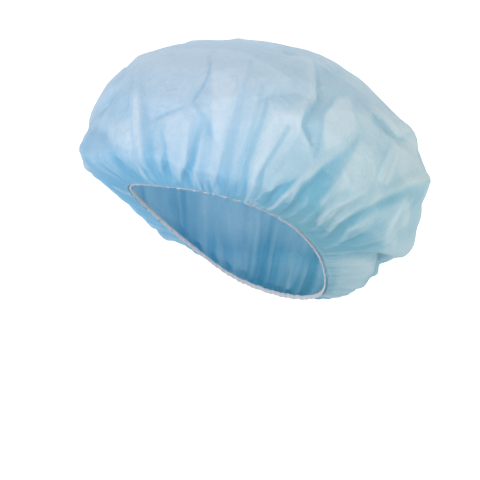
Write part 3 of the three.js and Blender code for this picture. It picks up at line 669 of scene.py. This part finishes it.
# ---------------------------------------------------------------- materials
class Nodes:
    def __init__(self, name):
        self.mat = bpy.data.materials.new(name)
        self.mat.use_nodes = True
        self.tree = self.mat.node_tree
        self.tree.nodes.clear()

    def add(self, kind, inputs=None, **props):
        n = self.tree.nodes.new(kind)
        for k, v in props.items():
            setattr(n, k, v)
        for k, v in (inputs or {}).items():
            sock = n.inputs[k]
            if isinstance(v, bpy.types.NodeSocket):
                self.tree.links.new(v, sock)
            else:
                sock.default_value = v
        return n

    def math(self, op, a, b=0.0, c=None, clamp=False):
        n = self.add('ShaderNodeMath', {0: a, 1: b}, operation=op, use_clamp=clamp)
        if c is not None:
            if isinstance(c, bpy.types.NodeSocket):
                self.tree.links.new(c, n.inputs[2])
            else:
                n.inputs[2].default_value = c
        return n.outputs[0]

    def mix(self, fac, a, b):
        n = self.add('ShaderNodeMix', data_type='RGBA')
        for sock, v in ((n.inputs[0], fac), (n.inputs[6], a), (n.inputs[7], b)):
            if isinstance(v, bpy.types.NodeSocket):
                self.tree.links.new(v, sock)
            else:
                sock.default_value = v
        return n.outputs[2]

    def ramp(self, x, a, b, lo=0.0, hi=1.0):
        return self.add('ShaderNodeMapRange', {'Value': x, 'From Min': a, 'From Max': b, 'To Min': lo, 'To Max': hi}, clamp=True).outputs[0]


def sheet_material():
    g = Nodes("nonwoven_sheet")
    flat = g.add('ShaderNodeAttribute', attribute_name="flat").outputs['Vector']
    valley = g.add('ShaderNodeAttribute', attribute_name="valley").outputs['Fac']
    gather = g.add('ShaderNodeAttribute', attribute_name="gather").outputs['Fac']
    layers_and_painted_shade = g.add('ShaderNodeAttribute', attribute_name="layers_and_painted_shade").outputs['Fac']
    painted_highlight_and_hem = g.add('ShaderNodeAttribute', attribute_name="painted_highlight_and_hem").outputs['Fac']
    fan = g.add('ShaderNodeAttribute', attribute_name="fan").outputs['Vector']

    def noise(scale, detail, vec, rough=0.55):
        return g.add('ShaderNodeTexNoise', {'Vector': vec, 'Scale': scale, 'Detail': detail, 'Roughness': rough}).outputs['Fac']

    # spun fibres lying in three directions, cloudy where more of them fell, and a grid of small bond points
    fibres = None
    for turn, long in ((0.35, 9.0), (1.4, 8.0), (2.5, 10.0)):
        m = g.add('ShaderNodeMapping', {'Vector': flat, 'Rotation': (0, 0, turn), 'Scale': (1.0, long, 1.0)}).outputs[0]
        n = noise(260.0, 3.0, m, 0.6)
        fibres = n if fibres is None else g.math('ADD', fibres, n)
    fibres = g.math('MULTIPLY', fibres, 1 / 3)
    cloud = noise(110.0, 6.0, flat, 0.72)
    turned = g.add('ShaderNodeMapping', {'Vector': flat, 'Rotation': (0, 0, math.radians(45))}).outputs[0]
    xyz = g.add('ShaderNodeSeparateXYZ', {0: turned})
    pitch = 2 * math.pi / 0.0014
    dots = g.math('MULTIPLY', g.math('SINE', g.math('MULTIPLY', xyz.outputs[0], pitch)), g.math('SINE', g.math('MULTIPLY', xyz.outputs[1], pitch)))
    dots = g.ramp(dots, 0.35, 0.75)
    crinkle = noise(150.0, 5.0, flat, 0.65)
    speck = noise(420.0, 3.0, flat, 0.7)
    # faint angular creases from packing
    wavy = g.add('ShaderNodeVectorMath', {0: flat, 1: g.add('ShaderNodeVectorMath', {0: g.add('ShaderNodeTexNoise', {'Vector': flat, 'Scale': 60.0}).outputs['Color'], 1: (0.012, 0.012, 0.0)}, operation='MULTIPLY').outputs[0]}, operation='ADD').outputs[0]
    cell = g.add('ShaderNodeTexVoronoi', {'Vector': wavy, 'Scale': 48.0, 'Randomness': 1.0}, feature='DISTANCE_TO_EDGE').outputs['Distance']
    crease = g.ramp(cell, 0.0, 0.16, 1.0, 0.0)

    # streaks that fan out from the hem, where the gathered sheet lies in two or three layers
    fine = g.math('MULTIPLY', g.ramp(noise(230.0, 2.0, fan), 0.40, 0.60, -0.15, 0.15), g.ramp(gather, 0.4, 1.2))
    broad = g.math('MULTIPLY', g.ramp(noise(70.0, 1.0, fan), 0.40, 0.60, -0.17, 0.17), gather)
    # painted shade in the valleys and painted highlight on the ridges, plus the deeper colour of the gathered sheet
    # near the hem
    deep = g.math('ADD', g.ramp(valley, -2.0, 2.5, -0.09, 0.23), g.math('MULTIPLY', gather, 0.68))
    deep = g.math('ADD', deep, g.math('ADD', fine, broad))
    deep = g.math('ADD', deep, g.ramp(speck, 0.35, 0.65, -0.07, 0.07))
    # bands and panels: deeper for doubled cloth and painted shade, paler for painted light
    deep = g.math('ADD', deep, g.math('MULTIPLY', layers_and_painted_shade, 0.51), clamp=True)
    light = g.mix(g.ramp(g.math('SUBTRACT', cloud, g.math('MULTIPLY', layers_and_painted_shade, 0.25)), 0.3, 0.7), (0.665, 0.775, 0.875, 1), (0.825, 0.875, 0.935, 1))
    # painted light: the pale colour turns greener and greyer towards one side of the sheet
    side = g.ramp(g.add('ShaderNodeVectorMath', {0: flat, 1: (0.79, 0.62, 0.0)}, operation='DOT_PRODUCT').outputs['Value'], -0.03, 0.15)
    light = g.mix(g.math('MULTIPLY', side, 0.75), light, (0.62, 0.715, 0.68, 1))
    # painted light: the deep colour turns teal on that same side
    colour = g.mix(deep, light, g.mix(side, (0.18, 0.535, 0.785, 1), (0.17, 0.47, 0.56, 1)))
    # painted highlight: paler colour along the crests, also on the pale hem edge over the elastic
    colour = g.mix(g.math('MULTIPLY', painted_highlight_and_hem, 0.48), colour, (0.80, 0.905, 0.955, 1))
    colour = g.mix(g.ramp(fibres, 0.38, 0.62, 0.0, 0.2), colour, (0.93, 0.97, 1.0, 1))
    through = g.mix(deep, (0.60, 0.80, 0.90, 1), (0.26, 0.62, 0.78, 1))

    height = g.math('ADD', g.math('MULTIPLY', fibres, 0.5), g.math('MULTIPLY', crinkle, 0.9))
    height = g.math('SUBTRACT', height, g.math('MULTIPLY', dots, 0.25))
    height = g.math('ADD', height, g.math('MULTIPLY', crease, 0.7))
    bump = g.add('ShaderNodeBump', {'Strength': 0.55, 'Distance': 0.0009, 'Height': height}).outputs[0]
    face = g.add('ShaderNodeBsdfPrincipled', {'Base Color': colour, 'Roughness': 0.78, 'Specular IOR Level': 0.22, 'Sheen Weight': 0.05, 'Normal': bump})
    glow = g.add('ShaderNodeBsdfTranslucent', {'Color': through, 'Normal': bump})
    both = g.add('ShaderNodeMixShader', {0: 0.42, 1: face.outputs[0], 2: glow.outputs[0]})
    g.add('ShaderNodeOutputMaterial', {'Surface': both.outputs[0]})
    return g.mat


def band_material():
    g = Nodes("covered_elastic")
    along = g.add('ShaderNodeAttribute', attribute_name="along").outputs['Vector']
    xyz = g.add('ShaderNodeSeparateXYZ', {0: along})
    a = g.math('SINE', g.math('ADD', g.math('MULTIPLY', xyz.outputs[0], 2 * math.pi / 0.0007), g.math('MULTIPLY', xyz.outputs[1], 2 * math.pi / 0.0012)))
    b = g.math('SINE', g.math('SUBTRACT', g.math('MULTIPLY', xyz.outputs[0], 2 * math.pi / 0.0007), g.math('MULTIPLY', xyz.outputs[1], 2 * math.pi / 0.0012)))
    braid = g.math('MAXIMUM', a, b)
    fuzz = g.add('ShaderNodeTexNoise', {'Vector': along, 'Scale': 1500.0, 'Detail': 4.0}).outputs['Fac']
    colour = g.mix(g.ramp(braid, -1, 1), (0.40, 0.40, 0.43, 1), (0.60, 0.58, 0.60, 1))
    colour = g.mix(g.ramp(fuzz, 0.35, 0.7, 0, 0.3), colour, (0.74, 0.71, 0.72, 1))
    # a darker, greyer blue in the hollows of the ruffles, partly the blue sheet over the elastic and partly painted
    # shade
    ruffle = g.add('ShaderNodeAttribute', attribute_name="ruffle").outputs['Fac']
    colour = g.mix(g.ramp(ruffle, 0.35, -0.35, 0.0, 0.4), colour, (0.33, 0.44, 0.52, 1))
    height = g.math('ADD', g.math('MULTIPLY', braid, 0.5), fuzz)
    bump = g.add('ShaderNodeBump', {'Strength': 0.5, 'Distance': 0.0003, 'Height': height}).outputs[0]
    face = g.add('ShaderNodeBsdfPrincipled', {'Base Color': colour, 'Roughness': 0.65, 'Specular IOR Level': 0.3, 'Normal': bump})
    g.add('ShaderNodeOutputMaterial', {'Surface': face.outputs[0]})
    return g.mat


def floor_material():
    g = Nodes("pale_floor")
    co = g.add('ShaderNodeTexCoord').outputs['Object']
    n = g.add('ShaderNodeTexNoise', {'Vector': co, 'Scale': 3.0, 'Detail': 2.0}).outputs['Fac']
    colour = g.mix(n, (0.93, 0.93, 0.93, 1), (0.95, 0.95, 0.95, 1))
    # painted light: the floor glows beyond the middle and not under the cap
    far = g.ramp(g.add('ShaderNodeVectorMath', {0: co}, operation='LENGTH').outputs['Value'], 0.35, 0.75, 0.0, 0.6)
    face = g.add('ShaderNodeBsdfPrincipled', {'Base Color': colour, 'Roughness': 0.9, 'Specular IOR Level': 0.1, 'Emission Color': (1, 1, 1, 1), 'Emission Strength': far})
    g.add('ShaderNodeOutputMaterial', {'Surface': face.outputs[0]})
    return g.mat


# ---------------------------------------------------------------- scene
AZ, EL, DIST = 38.0, 8.0, 10.0
MM_PER_PX = 0.87


def view_axes(az, el):
    a, e = math.radians(az), math.radians(el)
    right = Vector((math.cos(a), math.sin(a), 0))
    back = Vector((math.sin(a) * math.cos(e), -math.cos(a) * math.cos(e), math.sin(e)))
    return right, back.cross(right), back


def aim(ob, at):
    ob.rotation_euler = (Vector(at) - ob.location).to_track_quat('-Z', 'Y').to_euler()


def area_light(name, az, el, dist, size, power, colour):
    d = bpy.data.lights.new(name, 'AREA')
    d.shape, d.size, d.energy, d.color = 'DISK', size, power, colour
    ob = bpy.data.objects.new(name, d)
    ob.location = view_axes(az, el)[2] * dist
    bpy.context.scene.collection.objects.link(ob)
    aim(ob, (0, 0.02, 0.07))


def stage():
    s = 40.0
    v = np.array([[-s, -s, 0], [s, -s, 0], [s, s, 0], [-s, s, 0]])
    floor = new_object("floor", v, [(0, 1, 2, 3)], floor_material())
    floor.location = (0, 0, -0.32)
    w = bpy.data.worlds.new("studio")
    bpy.context.scene.world = w
    w.use_nodes = True
    tree = w.node_tree
    bg = tree.nodes["Background"]
    bg.inputs[0].default_value = (0.97, 0.985, 1.0, 1)
    # brighter near the horizon than overhead
    co = tree.nodes.new('ShaderNodeTexCoord')
    xyz = tree.nodes.new('ShaderNodeSeparateXYZ')
    ramp = tree.nodes.new('ShaderNodeMapRange')
    for k, v in (('From Min', 0.0), ('From Max', 0.8), ('To Min', 1.14), ('To Max', 0.60)):
        ramp.inputs[k].default_value = v
    tree.links.new(co.outputs['Generated'], xyz.inputs[0])
    tree.links.new(xyz.outputs[2], ramp.inputs['Value'])
    tree.links.new(ramp.outputs[0], bg.inputs[1])
    area_light("key", 10, 25, 1.7, 1.6, 10.5, (0.95, 0.94, 1.0))
    area_light("fill", 100, 22, 1.8, 1.3, 4.0, (1.0, 0.99, 0.70))
    area_light("rim", 215, 30, 1.8, 1.2, 12, (1.0, 1.0, 1.0))


def camera():
    c = bpy.data.cameras.new("camera")
    ob = bpy.data.objects.new("camera", c)
    bpy.context.scene.collection.objects.link(ob)
    right, up, back = view_axes(AZ, EL)
    at = right * (12 * MM_PER_PX / 1000) + up * (3 * MM_PER_PX / 1000)
    ob.location = at + back * DIST
    aim(ob, at)
    c.sensor_width = 36.0
    c.lens = 36.0 * DIST / (480 * MM_PER_PX / 1000)
    c.clip_end = 100
    bpy.context.scene.camera = ob


scene = bpy.context.scene
scene.view_settings.view_transform = 'Standard'
scene.view_settings.look = 'None'
camera()
stage()
cap = build_crown(sheet_material())
band = build_band(band_material())
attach(cap, "root")
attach(band, "root")
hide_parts("crown")
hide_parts("elastic_band")

bpy.context.view_layer.update()
